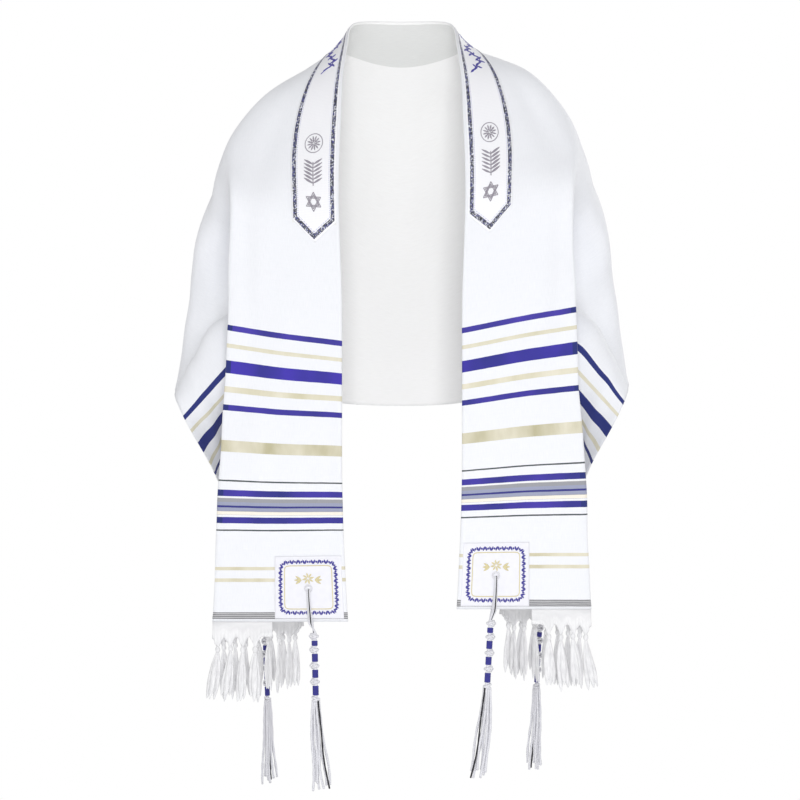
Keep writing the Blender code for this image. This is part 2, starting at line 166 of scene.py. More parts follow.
# Creases and slack, as soft troughs and ridges on the drape
creases = {
    # side (0 both), from (along, across) to (along, across), half width, depth outwards
    "rows": [
        (0, (0.56, 0.020), (0.90, 0.012), 0.012, -0.0016),  # beside the front edge
        (-1, (0.30, 0.150), (0.62, 0.132), 0.013, -0.0024),  # beside the outer fold, under the shoulder
        (1, (0.34, 0.150), (0.66, 0.136), 0.013, -0.0020),
        (-1, (0.22, 0.070), (0.40, 0.145), 0.022, -0.0030),  # pulled from the neck to the fold
        (1, (0.20, 0.075), (0.36, 0.150), 0.020, -0.0026),
        (-1, (0.50, 0.085), (0.62, 0.060), 0.016, 0.0016),
        (1, (0.46, 0.060), (0.60, 0.100), 0.018, -0.0014),
        (-1, (0.66, 0.120), (0.84, 0.100), 0.014, 0.0018),
        (1, (0.68, 0.050), (0.86, 0.075), 0.016, 0.0016),
        (0, (0.18, 0.200), (0.34, 0.330), 0.030, -0.0050),  # slack over the upper arm
        (0, (0.24, 0.300), (0.40, 0.400), 0.026, 0.0050),
        (-1, (0.30, 0.420), (0.52, 0.470), 0.022, -0.0026),  # down the wing
        (1, (0.32, 0.410), (0.50, 0.480), 0.022, -0.0028),
        (0, (0.42, 0.470), (0.66, 0.500), 0.012, 0.0024),
        (-1, (0.06, 0.080), (0.13, 0.300), 0.026, -0.0060),  # inside the back, slanting in
        (1, (0.05, 0.060), (0.12, 0.260), 0.028, -0.0050),
        (-1, (0.02, 0.260), (0.10, 0.480), 0.030, 0.0055),
        (1, (0.02, 0.300), (0.14, 0.500), 0.026, 0.0050),
        (-1, (0.13, 0.150), (0.16, 0.530), 0.017, -0.0055),  # down the sides of the back
        (1, (0.14, 0.170), (0.15, 0.530), 0.016, -0.0050),
        (-1, (0.19, 0.230), (0.24, 0.530), 0.018, 0.0050),
        (1, (0.21, 0.200), (0.23, 0.530), 0.018, 0.0045),
        (0, (0.27, 0.330), (0.29, 0.530), 0.014, -0.0040),
    ],
    "fade": (0.04, 0.96, 0.7),  # a crease's depth follows this part of a half wave, to this power
    "slack": 0.0012,  # wide uneven waves all over
    "neckReach": 0.02,  # from the neck edge, which stays even
    "bandShare": 0.35, "bandUntil": (0.085, 0.12),  # the neckband keeps the cloth under it flatter
    "hemShare": 0.25, "hemReach": (0.005, 0.115),  # and the end hem does the same
}


# How far out the cloth stands from its even drape
def creased(along, across):
    a, c = np.meshgrid(along, across, indexing="ij")
    slow = np.sin(a * 23 + 3 * np.sin(c * 9)) * np.sin(c * 17 + 1.3 + 2 * np.sin(a * 7))
    quick = np.sin(a * 51 + c * 38) * np.sin(c * 61 - a * 19)
    off = creases["slack"] * (slow + 0.5 * quick)  # the waves are uneven, so no two places match
    first, last, blunt = creases["fade"]
    for side, start, end, wide, deep in creases["rows"]:
        for s in ((-1, 1) if side == 0 else (side,)):
            p = np.array((start[0] * s, start[1]))
            d = np.array((end[0] * s, end[1])) - p
            t = np.clip(((a - p[0]) * d[0] + (c - p[1]) * d[1]) / (d @ d), 0, 1)
            away = np.hypot(a - p[0] - t * d[0], c - p[1] - t * d[1])
            fade = np.sin(np.pi * (first + (last - first) * t)) ** blunt
            off += deep * fade * np.exp(-(away / wide) ** 2)
    pastBand = smoothStep(c, *creases["bandUntil"])
    quiet = smoothStep(c, 0.0, creases["neckReach"])
    quiet = quiet * (creases["bandShare"] + (1 - creases["bandShare"]) * pastBand)
    pastHem = smoothStep(drape["length"] / 2 - np.abs(a + drape["endShift"]), *creases["hemReach"])
    return off * quiet * (creases["hemShare"] + (1 - creases["hemShare"]) * pastHem)


# The cloth's own mesh lines, closer together at the folds
meshLines = {"alongStep": 0.0052, "acrossStep": 0.0052, "foldStep": 0.0022, "foldReach": 0.014}


def acrossLines():
    lines = [0.0]
    folds = drape["cornersAcross"][1:4]
    while lines[-1] < drape["width"]:
        near = min(abs(lines[-1] - fold) for fold in folds) < meshLines["foldReach"]
        lines.append(lines[-1] + meshLines["foldStep" if near else "acrossStep"])
    lines = np.array(lines)
    return lines * drape["width"] / lines[-1]


alongAt = np.linspace(endOf(-1), endOf(1), int(drape["length"] / meshLines["alongStep"]) + 1)
acrossAt = acrossLines()
middle = clothPoints(alongAt, acrossAt)
middle += outward(middle) * creased(alongAt, acrossAt)[..., None]
normals = outward(middle)


# A place on the cloth's middle layer, moved out by off. Takes numbers or arrays
def onCloth(along, across, off=0.0):
    along = np.asarray(along, float)
    across = np.asarray(across, float)
    i = np.clip(np.searchsorted(alongAt, along) - 1, 0, len(alongAt) - 2)
    j = np.clip(np.searchsorted(acrossAt, across) - 1, 0, len(acrossAt) - 2)
    a = ((along - alongAt[i]) / (alongAt[i + 1] - alongAt[i]))[..., None]
    b = ((across - acrossAt[j]) / (acrossAt[j + 1] - acrossAt[j]))[..., None]
    off = np.asarray(off, float)[..., None]

    def corner(di, dj):
        return middle[i + di, j + dj] + normals[i + di, j + dj] * off

    near = corner(0, 0) * (1 - a) + corner(1, 0) * a
    far = corner(0, 1) * (1 - a) + corner(1, 1) * a
    return near * (1 - b) + far * b


def normalAt(along, across):
    way = onCloth(along, across, 0.01) - onCloth(along, across)
    return way / np.linalg.norm(way)


print("drape laid out")

strand = {"plyLump": 0.16, "tipShare": 0.5}  # how far a ply stands out, and how far a strand's end does


# Points with a note each (the cloth place, or the place on a cord), and faces
class Mesh:
    def __init__(self):
        self.points, self.notes, self.faces = [], [], []

    def add(self, points, notes):
        first = len(self.points)
        self.points += [tuple(map(float, p)) for p in points]
        self.notes += [tuple(map(float, p)) for p in notes]
        return np.arange(first, len(self.points))

    # A closed thin wall. Its outer grid's first way crossed with its second points outwards
    def sheet(self, outer, inner, notes, innerNote=0.0):
        rows, columns = outer.shape[:2]
        o = self.add(outer.reshape(-1, 3), notes.reshape(-1, 3)).reshape(rows, columns)
        inside = notes.reshape(-1, 3) + (0, 0, innerNote)
        n = self.add(inner.reshape(-1, 3), inside).reshape(rows, columns)
        for i in range(rows - 1):
            for j in range(columns - 1):
                self.faces.append((o[i, j], o[i + 1, j], o[i + 1, j + 1], o[i, j + 1]))
                self.faces.append((n[i, j], n[i, j + 1], n[i + 1, j + 1], n[i + 1, j]))
        for i in range(rows - 1):
            self.faces.append((o[i, 0], n[i, 0], n[i + 1, 0], o[i + 1, 0]))
            self.faces.append((o[i, -1], o[i + 1, -1], n[i + 1, -1], n[i, -1]))
        for j in range(columns - 1):
            self.faces.append((o[0, j], o[0, j + 1], n[0, j + 1], n[0, j]))
            self.faces.append((o[-1, j], n[-1, j], n[-1, j + 1], o[-1, j + 1]))

    # A closed strand along a path. Wide and deep are half sizes at each point, and across is its broad way
    def tube(self, path, wide, deep, across, sides=8, twist=0.0, ply=0, note=0.0):
        path = np.asarray(path, float)
        count = len(path)
        wide = np.broadcast_to(wide, count)
        deep = np.broadcast_to(deep, count)
        run = np.gradient(path, axis=0)
        run /= np.linalg.norm(run, axis=1, keepdims=True)
        across = np.broadcast_to(np.asarray(across, float), (count, 3))
        broad = across - run * (across * run).sum(1, keepdims=True)
        broad /= np.linalg.norm(broad, axis=1, keepdims=True)
        thin = np.cross(run, broad)
        length = np.concatenate([[0], np.cumsum(np.linalg.norm(np.diff(path, axis=0), axis=1))])
        turn = np.arange(sides) / sides * tau
        rings = []
        for k in range(count):
            lump = 1 + (strand["plyLump"] * np.cos(ply * turn + twist * length[k]) if ply else 0.0)
            ring = (path[k] + broad[k] * (np.cos(turn) * wide[k] * lump)[:, None]
                    + thin[k] * (np.sin(turn) * deep[k] * lump)[:, None])
            notes = np.stack([np.full(sides, length[k]), turn / tau, np.full(sides, note)], axis=1)
            rings.append(self.add(ring, notes))
        for a, b in zip(rings, rings[1:]):
            for s in range(sides):
                t = (s + 1) % sides
                self.faces.append((a[s], a[t], b[t], b[s]))
        for ring, k in ((rings[0], 0), (rings[-1], count - 1)):
            reach = deep[k] * strand["tipShare"] * (1 if k else -1)
            tip = self.add([path[k] + run[k] * reach], [(length[k], 0, note)])[0]
            for s in range(sides):
                t = (s + 1) % sides
                self.faces.append((ring[s], ring[t], tip) if k else (ring[t], ring[s], tip))

    def make(self, name, material, slot, nodes):
        data = bpy.data.meshes.new(name)
        data.from_pydata(self.points, [], [tuple(int(k) for k in face) for face in self.faces])
        note = data.attributes.new("place", "FLOAT_VECTOR", "POINT")
        note.data.foreach_set("vector", np.array(self.notes, dtype=np.float32).ravel())
        data.update()
        data.polygons.foreach_set("use_smooth", [True] * len(data.polygons))
        data.materials.append(material)
        piece = bpy.data.objects.new(name, data)
        bpy.context.scene.collection.objects.link(piece)
        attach(piece, "root")
        if nodes:
            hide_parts(*nodes)
        return piece


# An sRGB hex colour as the linear numbers that a shader takes
def linear(code):
    parts = [int(code[k:k + 2], 16) / 255 for k in (1, 3, 5)]
    return (*[x / 12.92 if x <= 0.04045 else ((x + 0.055) / 1.055) ** 2.4 for x in parts], 1.0)


# Adds a node and gives its first output, or the one named. Its inputs come in order or by name, and each is
# a number, a hex colour or another node's output
def addNode(tree, kind, inputs=(), output=None, **settings):
    node = tree.nodes.new("ShaderNode" + kind)
    for key, value in settings.items():
        setattr(node, key, value)
    if not isinstance(inputs, dict):
        inputs = dict(zip([k for k, socket in enumerate(node.inputs) if socket.enabled], inputs))
    for key, source in inputs.items():
        if isinstance(source, bpy.types.NodeSocket):
            tree.links.new(source, node.inputs[key])
        else:
            node.inputs[key].default_value = linear(source) if isinstance(source, str) else source
    return node.outputs[output] if output else next(socket for socket in node.outputs if socket.enabled)


# A cloth or yarn surface, with the place on the cloth or along the strand that its pattern follows
def newFinish(name, roughness, sheen):
    material = bpy.data.materials.new(name)
    material.use_nodes = True
    tree = material.node_tree
    shader = tree.nodes["Principled BSDF"]
    shader.inputs["Roughness"].default_value = roughness
    shader.inputs["Sheen Weight"].default_value = sheen
    shader.inputs["Sheen Roughness"].default_value = 0.4
    add = functools.partial(addNode, tree)
    place = add("Attribute", output="Vector", attribute_name="place")
    parts = add("SeparateXYZ", (place,)).node.outputs
    return material, shader, add, place, parts


# Gives the surface its colour, and its relief as bump. A depth is in metres
def coverWith(shader, add, colour, height, depth, strength=0.6):
    links = shader.id_data.links
    links.new(colour, shader.inputs["Base Color"])
    relief = add("Bump", {"Strength": strength, "Distance": depth, "Height": height})
    links.new(relief, shader.inputs["Normal"])


# Noise over the place, as a number about a centre. Its cells are counted a metre in each direction
def stretchedNoise(add, place, cells, detail=2.0, centre=0.0, spread=1.0):
    apart = add("Mapping", {"Vector": place, "Scale": cells})
    noise = add("TexNoise", {"Vector": apart, "Scale": 1.0, "Detail": detail})
    about = add("Math", (noise, 0.5), operation="SUBTRACT")
    return add("Math", (about, spread, centre), operation="MULTIPLY_ADD")


# The cells of a grain that is so many millimetres long and wide on the cloth
def cellsOf(long, wide):
    return 1000 / long, 1000 / wide, 1


# The cells of a yarn's fibres: so many millimetres long, so many round it, and other ones on each strand
def fibresOf(long, countRound):
    return 1000 / long, countRound, 31


# A wave with this pitch, in metres, over a length
def waveOver(add, length, pitch):
    turn = add("Math", (length, tau / pitch), operation="MULTIPLY")
    return add("Math", (turn,), operation="SINE")


# Plain weave: over and under, from two crossed waves
def weaveHeight(add, parts, pitch):
    crossed = (waveOver(add, parts[0], pitch), waveOver(add, parts[1], pitch))
    return add("Math", crossed, operation="MULTIPLY")


# The neckband's cut, as places on the cloth
band = {
    "from": 0.004, "to": 0.072,  # across
    "corner": 0.407, "point": 0.434, "shift": -0.004,  # along
    "step": 0.0026,
}
bandMiddle = (band["from"] + band["to"]) / 2
bandHalf = (band["to"] - band["from"]) / 2


# Light worsted, plain-woven and slightly napped: a soft matt white, with a faint streak of its weft.
# Its rayon stripes stand up a little, and their blue is painted navy in patches and on the wing, as painted
# shade for a sheen that turns away
stripes = {
    # middle, from the cloth's end, width (m), colour
    "rows": [
        (0.3640, 0.0070, "#4639a6"),
        (0.3425, 0.0050, "#cfcab2"),
        (0.3170, 0.0155, "#3d2fa8"),
        (0.2900, 0.0070, "#ccc6aa"),
        (0.2680, 0.0072, "#4034a0"),
        (0.2210, 0.0140, "#b8b293"),
        (0.1790, 0.0019, "#4d5356"),
        (0.1640, 0.0078, "#4034a0"),
        (0.1555, 0.0050, "#efe9dc"),
        (0.1475, 0.0205, "#98999f"),
        (0.1475, 0.0110, "#979cb4"),
        (0.1475, 0.0024, "#34357e"),
        (0.1395, 0.0040, "#efe9dc"),
        (0.1306, 0.0078, "#4034a0"),
        (0.1180, 0.0019, "#4d5356"),
        (0.0690, 0.0042, "#c9c2a6"),
        (0.0540, 0.0046, "#c9c2a6"),
        (0.0078, 0.0086, "#cbcbcd"),
        (0.0113, 0.0014, "#77777b"),
        (0.0089, 0.0014, "#77777b"),
        (0.0066, 0.0014, "#77777b"),
        (0.0043, 0.0014, "#77777b"),
    ],
    "golds": ("#cfcab2", "#ccc6aa", "#b8b293", "#c9c2a6"), "paleGold": "#e0dbc9",
    "goldGrain": (71.4, 38.5), "goldSpread": 2.5,  # the gold yarn pales in patches along a stripe
    "blues": ("#4639a6", "#3d2fa8", "#4034a0"), "navy": "#1f2a72",  # painted shade: the blue rayon is painted navy where it would be off its sheen
    "navyGrain": (111, 62.5), "navySpread": 2.2, "navyShare": 0.35,
    "turnedFrom": 0.158,  # across, past which the cloth faces away and its blue is painted navy, as painted shade
    "white": "#ebecf0", "slub": "#e7e9ee", "slubGrain": (1.43, 22.2), "slubSpread": 1.2,
    "inside": "#fbfbfb",  # painted light: the inside is painted lighter than the outside, for light that shines through the thin wool
    "paintedDoubledShade": "#e4e5e4",  # painted shade on the inside where the neckband is sewn on and less light comes through the two layers
    "threadPitch": 0.0011,  # the real one is about 0.5 mm; drawn coarser so that it shows
    "wanderGrain": (2.38, 16.7), "edgeWander": 0.0005,  # a stripe's edge isn't quite straight
    "weftGrain": (11.1, 0.385), "weftShade": 0.16,
    "fuzzGrain": (3.85, 3.85), "fuzz": 2.4,
    "stripeRise": 1.5, "depth": 0.00008,
}


def makeStripedWool():
    material, shader, add, place, parts = newFinish("plainWovenWool", 0.82, 0.25)
    moved = add("Math", (parts[0], drape["endShift"]), operation="ADD")
    fromMiddle = add("Math", (moved,), operation="ABSOLUTE")
    straight = add("Math", (drape["length"] / 2, fromMiddle), operation="SUBTRACT")
    wander = stretchedNoise(add, place, cellsOf(*stripes["wanderGrain"]), 1.0, 0.0, stripes["edgeWander"])
    fromEnd = add("Math", (straight, wander), operation="ADD")
    slubs = stretchedNoise(add, place, cellsOf(*stripes["slubGrain"]), 3.0, 0.5, stripes["slubSpread"])
    colour = add("Mix", (slubs, stripes["white"], stripes["slub"]), data_type="RGBA")
    # painted light: the inside face gets the lighter white, for light through the thin wool
    within = add("Math", (parts[2], -0.5), operation="LESS_THAN")
    colour = add("Mix", (within, colour, stripes["inside"]), data_type="RGBA")
    # painted shade where the neckband lies over the cloth behind the neck
    behindBand = add("Math", (parts[1], bandMiddle, bandHalf), operation="COMPARE")
    overNeck = add("Math", (fromMiddle, band["corner"]), operation="LESS_THAN")
    paintedDoubledShade = add("Math", (behindBand, overNeck), operation="MULTIPLY")
    colour = add("Mix", (paintedDoubledShade, colour, stripes["paintedDoubledShade"]), data_type="RGBA")
    pale = stretchedNoise(add, place, cellsOf(*stripes["goldGrain"]), 3.0, 0.5, stripes["goldSpread"])
    # painted shade: the blue is painted navy on the wing and in patches of noise, for its sheen turning away
    turned = add("Math", (parts[1], stripes["turnedFrom"]), operation="GREATER_THAN")
    offSheen = stretchedNoise(add, place, cellsOf(*stripes["navyGrain"]), 2.0, stripes["navyShare"],
                              stripes["navySpread"])
    paintedNavyShade = add("Math", (turned, offSheen), operation="MAXIMUM")
    striped = 0.0
    for where, width, code in stripes["rows"]:
        dyed = code
        if code in stripes["golds"]:
            dyed = add("Mix", (pale, code, stripes["paleGold"]), data_type="RGBA")
        if code in stripes["blues"]:
            dyed = add("Mix", (paintedNavyShade, code, stripes["navy"]), data_type="RGBA")
        here = add("Math", (fromEnd, where, width / 2), operation="COMPARE")
        colour = add("Mix", (here, colour, dyed), data_type="RGBA")
        striped = add("Math", (here, striped), operation="MAXIMUM")
    weft = stretchedNoise(add, place, cellsOf(*stripes["weftGrain"]), 2.0, 1.0, stripes["weftShade"])
    shade = add("CombineColor", (weft, weft, weft))
    colour = add("Mix", (1.0, colour, shade), data_type="RGBA", blend_type="MULTIPLY")
    fuzz = stretchedNoise(add, place, cellsOf(*stripes["fuzzGrain"]), 3.0, 0.0, stripes["fuzz"])
    woven = add("Math", (weaveHeight(add, parts, stripes["threadPitch"]), fuzz), operation="ADD")
    height = add("Math", (striped, stripes["stripeRise"], woven), operation="MULTIPLY_ADD")
    coverWith(shader, add, colour, height, stripes["depth"])
    return material


# A jacquard ribbon of rayon satin: smoother and a little shinier than the wool, with a mottled border
ribbon = {
    "white": "#f6f6f9", "figure": "#eeeef3",
    "border": (0.0024, 0.0082), "borderRise": 2.0,  # from the band's edge
    "fleck": 0.0013,  # the border's mottled knots
    "flecks": ((0.0, "#2b2d3a"), (0.30, "#5b5d74"), (0.44, "#26272f"), (0.56, "#d9dae2"), (0.70, "#44468a"),
               (0.84, "#77798a")),
    "rim": (0.0098, 0.0004), "rimDash": 0.0028, "rimColour": "#a9a9cf",  # a fine dashed line in from it
    "lozenge": 0.0042, "lozengeRise": 0.8,  # the small figure woven in the white ground
    "threadPitch": 0.0009,  # drawn coarser than the real one so that it shows
    "depth": 0.0001,
}


def makeBandSatin():
    material, shader, add, place, parts = newFinish("jacquardSatin", 0.5, 0.15)
    low, high = ribbon["border"]
    inBorder = add("Math", (parts[2], (low + high) / 2, (high - low) / 2), operation="COMPARE")
    flat = add("Mapping", {"Vector": place, "Scale": (1, 1, 0)})
    knots = add("TexVoronoi", {"Vector": flat, "Scale": 1 / ribbon["fleck"]}, "Color")
    mottled = add("ValToRGB", (knots,))
    ramp = mottled.node.color_ramp
    ramp.interpolation = "CONSTANT"
    ramp.elements[1].position = ribbon["flecks"][1][0]
    for start, code in ribbon["flecks"][2:]:
        ramp.elements.new(start)
    for step, (start, code) in zip(ramp.elements, ribbon["flecks"]):
        step.color = linear(code)
    rising = add("Math", (parts[0], parts[1]), operation="ADD")
    falling = add("Math", (parts[0], parts[1]), operation="SUBTRACT")
    crossed = (waveOver(add, rising, ribbon["lozenge"]), waveOver(add, falling, ribbon["lozenge"]))
    lozenges = add("Math", crossed, operation="MULTIPLY")
    figured = add("Math", (lozenges, 0.5, 0.5), operation="MULTIPLY_ADD")
    ground = add("Mix", (figured, ribbon["white"], ribbon["figure"]), data_type="RGBA")
    rim = add("Math", (parts[2], *ribbon["rim"]), operation="COMPARE")
    dashes = add("Math", (waveOver(add, parts[0], ribbon["rimDash"]), -0.2), operation="GREATER_THAN")
    dashed = add("Math", (rim, dashes), operation="MULTIPLY")
    ground = add("Mix", (dashed, ground, ribbon["rimColour"]), data_type="RGBA")
    colour = add("Mix", (inBorder, ground, mottled), data_type="RGBA")
    woven = weaveHeight(add, parts, ribbon["threadPitch"])
    height = add("Math", (lozenges, ribbon["lozengeRise"], woven), operation="MULTIPLY_ADD")
    height = add("Math", (inBorder, ribbon["borderRise"], height), operation="MULTIPLY_ADD")
    coverWith(shader, add, colour, height, ribbon["depth"])
    return material


# Twilled wool: fine slanting ribs, faintly clouded, with an edge that is turned under and stitched
twill = {
    "rib": 0.0017,  # drawn coarser than the real one so that it shows
    "white": "#eeeef3", "cloud": "#e3e3eb", "cloudGrain": (8.33, 8.33),
    "edge": 0.0016, "edgeRise": 2.5, "depth": 0.00009,
}


def makePatchWeave():
    material, shader, add, place, parts = newFinish("twillWool", 0.6, 0.2)
    ribs = waveOver(add, add("Math", (parts[0], parts[1]), operation="ADD"), twill["rib"])
    clouds = stretchedNoise(add, place, cellsOf(*twill["cloudGrain"]), 2.0, 0.5, 1.0)
    colour = add("Mix", (clouds, twill["white"], twill["cloud"]), data_type="RGBA")
    edge = add("Math", (parts[2], twill["edge"], twill["edge"]), operation="COMPARE")
    height = add("Math", (edge, twill["edgeRise"], ribs), operation="MULTIPLY_ADD")
    coverWith(shader, add, colour, height, twill["depth"])
    return material


# Rayon embroidery thread: bright along its run, with fine grooves between the stitches, painted darker as
# painted shade
thread = {
    "stitchPitch": 0.0012,  # drawn coarser than the real one so that it shows
    "depth": 0.0001,
    # each colour's own tone, and the darker one painted as shade in the grooves
    "blue": ("#4842a4", "#2f2c80"), "gold": ("#e0d6ac", "#c2b47e"), "mauve": ("#a19ca6", "#77727f"),
}


def makeThread(name, light, dark):
    material, shader, add, place, parts = newFinish(name, 0.45, 0.1)
    grooves = waveOver(add, parts[0], thread["stitchPitch"])
    # painted shade in the grooves between the stitches
    share = add("Math", (grooves, 0.35, 0.4), operation="MULTIPLY_ADD")
    colour = add("Mix", (share, light, dark), data_type="RGBA")
    coverWith(shader, add, colour, grooves, thread["depth"], 0.5)
    return material


# Wool yarn: fibres run along it, and a twisted one has painted shade in the groove between its plies
yarn = {
    "streaks": (11.1, 9), "fibres": (2.0, 14),  # millimetres long, and how many round a strand
    "twist": tau * 2 / 0.0046,  # two plies, each of which comes round every 4.6 mm
    "paintedGrooveShade": 0.6, "grooveDepth": -3.0, "depth": 0.00015,
    "fringe": ("#f6f6f7", "#c9c9cc", 1.3), "cord": ("#f6f6f9", "#c8c8d0", 0.5),  # light, dark, streakiness
    "winding": ("#3f3f9e", "#23235f", 1.0), "black": ("#35353c", "#141418", 0.8),
}


def makeYarn(name, light, dark, streak, twist):
    material, shader, add, place, parts = newFinish(name, 0.85, 0.3)
    streaks = stretchedNoise(add, place, fibresOf(*yarn["streaks"]), 3.0, 0.5, streak)
    colour = add("Mix", (streaks, light, dark), data_type="RGBA")
    height = stretchedNoise(add, place, fibresOf(*yarn["fibres"]), 3.0, 0.0, 2.0)
    if twist:
        ofPly = add("Math", (parts[1], 2 * tau), operation="MULTIPLY")
        turn = add("Math", (parts[0], twist, ofPly), operation="MULTIPLY_ADD")
        between = add("Math", (turn,), operation="COSINE")
        between = add("Math", (between, -0.5, 0.5), operation="MULTIPLY_ADD")
        groove = add("Math", (between, 3.0), operation="POWER")
        # painted shade in the groove between the plies
        shade = add("Math", (groove, yarn["paintedGrooveShade"]), operation="MULTIPLY")
        colour = add("Mix", (shade, colour, dark), data_type="RGBA")
        height = add("Math", (groove, yarn["grooveDepth"], height), operation="MULTIPLY_ADD")
    coverWith(shader, add, colour, height, yarn["depth"], 0.7)
    return material


wool = makeStripedWool()
bandSatin = makeBandSatin()
patchWeave = makePatchWeave()
blueThread = makeThread("blueRayonThread", *thread["blue"])
goldThread = makeThread("goldRayonThread", *thread["gold"])
mauveThread = makeThread("mauveRayonThread", *thread["mauve"])
fringeYarn = makeYarn("brushedWoolYarn", *yarn["fringe"], 0.0)
cordYarn = makeYarn("twistedWoolCord", *yarn["cord"], yarn["twist"])
blueYarn = makeYarn("blueWoolWinding", *yarn["winding"], 0.0)
blackYarn = makeYarn("blackWoolThread", *yarn["black"], yarn["twist"])
print("finishes made")


# The main cloth: a closed thin wall, with a hem all round that is a little thicker
shawl = {"hemReach": 0.006, "hemEase": 0.001, "hemExtra": 0.0004}
alongGrid, acrossGrid = np.meshgrid(alongAt, acrossAt, indexing="ij")
fromSides = np.minimum(acrossGrid, drape["width"] - acrossGrid)
fromEdge = np.minimum(fromSides, drape["length"] / 2 - np.abs(alongGrid + drape["endShift"]))
pastHem = smoothStep(fromEdge, shawl["hemReach"] - shawl["hemEase"], shawl["hemReach"])
wall = (wallOut + shawl["hemExtra"] * (1 - pastHem))[..., None]
notes = np.stack([alongGrid, acrossGrid, fromEdge], axis=2)
clothMesh = Mesh()
clothMesh.sheet(middle + normals * wall, middle - normals * wall, notes, innerNote=-1.0)
shawlCloth = clothMesh.make("shawl", wool, "striped_wool", ["shawl_cloth"])
print("cloth made")


# What is sewn on: pieces of this thickness, rounded down at their edges, and satin stitches on top of them
sewn = {"gap": 0.0004, "thick": 0.0010, "edgeShare": 0.45, "edgeReach": 0.0015, "stitchRise": 0.0005}
stitchBase = wallOut + sewn["gap"] + sewn["thick"]


# How far in from a closed outline each point is
def edgeDistance(points, outline):
    best = np.full(points.shape[:-1], np.inf)
    for p, q in zip(outline, outline[1:] + outline[:1]):
        p, q = np.array(p), np.array(q)
        d = q - p
        t = np.clip(((points - p) @ d) / (d @ d), 0, 1)
        best = np.minimum(best, np.linalg.norm(points - p - t[..., None] * d, axis=-1))
    return best


def sewnSheet(name, alongGrid, acrossGrid, outline, material, slot, node):
    flat = np.stack([alongGrid, acrossGrid], axis=2)
    inset = edgeDistance(flat, outline)
    under = np.full_like(inset, wallOut + sewn["gap"])
    full = smoothStep(inset, 0.0, sewn["edgeReach"])
    puff = sewn["thick"] * (sewn["edgeShare"] + (1 - sewn["edgeShare"]) * full)
    body = Mesh()
    body.sheet(onCloth(alongGrid, acrossGrid, under + puff), onCloth(alongGrid, acrossGrid, under),
               np.concatenate([flat, inset[..., None]], axis=2))
    return body.make(name, material, slot, [node])


# A raised satin stitch along places of the cloth
def stitch(body, places, halfWidth, height=sewn["stitchRise"]):
    places = np.array(places, float)
    path = onCloth(places[:, 0], places[:, 1], np.full(len(places), stitchBase))
    up = onCloth(places[:, 0], places[:, 1], np.full(len(places), stitchBase + 0.01)) - path
    body.tube(path, halfWidth, height, np.cross(up, np.gradient(path, axis=0)), sides=6)


# A lens of satin stitch from root to tip
def leaf(body, root, tip, half):
    root, tip = np.array(root), np.array(tip)
    share = np.linspace(0, 1, 7)
    stitch(body, root + (tip - root) * share[:, None], half * (0.25 + 0.75 * np.sin(np.pi * share)), 0.0006)


# Petals round a centre, each from a share of its length outwards
def rosette(body, centre, petals, long, start, half):
    for k in range(petals):
        turn = tau * k / petals + 0.2
        way = np.array((math.cos(turn), math.sin(turn)))
        leaf(body, centre + way * long * start, centre + way * long, half)


def ringAt(centre, radius, count):
    turn = np.linspace(0, tau, count)
    return np.stack([centre[0] + radius * np.cos(turn), centre[1] + radius * np.sin(turn)], axis=1)


bandEven = np.linspace(-band["point"], band["point"], int(2 * band["point"] / band["step"]) + 1)
bandAlong = bandEven + band["shift"]
bandShare = np.linspace(-1, 1, 31)
taper = np.interp(np.abs(bandEven), (band["corner"], band["point"]), (1.0, 0.03))  # to a nearly sharp point
bandGrid = np.meshgrid(bandAlong, bandShare, indexing="ij")
bandAcross = bandMiddle + bandGrid[1] * bandHalf * taper[:, None]
bandLeft, bandRight = band["shift"] + band["corner"], band["shift"] - band["corner"]
bandOutline = [(band["shift"] - band["point"], bandMiddle), (bandRight, band["from"]),
               (bandLeft, band["from"]), (band["shift"] + band["point"], bandMiddle),
               (bandLeft, band["to"]), (bandRight, band["to"])]
neckband = sewnSheet("neckbandRibbon", bandGrid[0], bandAcross, bandOutline,
                     bandSatin, "band_weave", "neckband")


# The band's ornament: a leafy zigzag vine behind the neck, and a rosette, a sprig and a star over each point
ornament = {
    "vineTo": 0.205, "vinePitch": 0.044, "vineSwing": 0.0110, "vineHalf": 0.0007,
    "leafFrom": 0.008, "leavesASwing": 9,
    # a leaf's root along, its tip along and across, its half width
    "vineLeaves": [(0.0, 0.0050, 0.0095, 0.0016), (0.002, -0.003, -0.0080, 0.0014)],
    "rosette": 0.302, "petalHalf": 0.0011,
    "petals": [(12, 0.0100, 0.40), (6, 0.0045, 0.25)],  # how many, how long, and the share they start at
    "rings": [(0.0132, 25, 0.0006), (0.0042, 17, 0.0005)],  # radius, steps, half width
    "sprig": 0.345, "sprigHalf": 0.0007, "sprigLong": 0.0165, "sprigPairs": 6, "sprigFrom": 0.8,
    "sprigLeaf": (-0.0075, 0.0135, 0.0015),  # its tip along and across, its half width
    "star": 0.383, "starRadius": 0.0128, "starLines": (1.0, 0.74), "starHalf": 0.0006,
}


def vineAcross(x):
    return bandMiddle + ornament["vineSwing"] * math.sin(tau * x / ornament["vinePitch"])


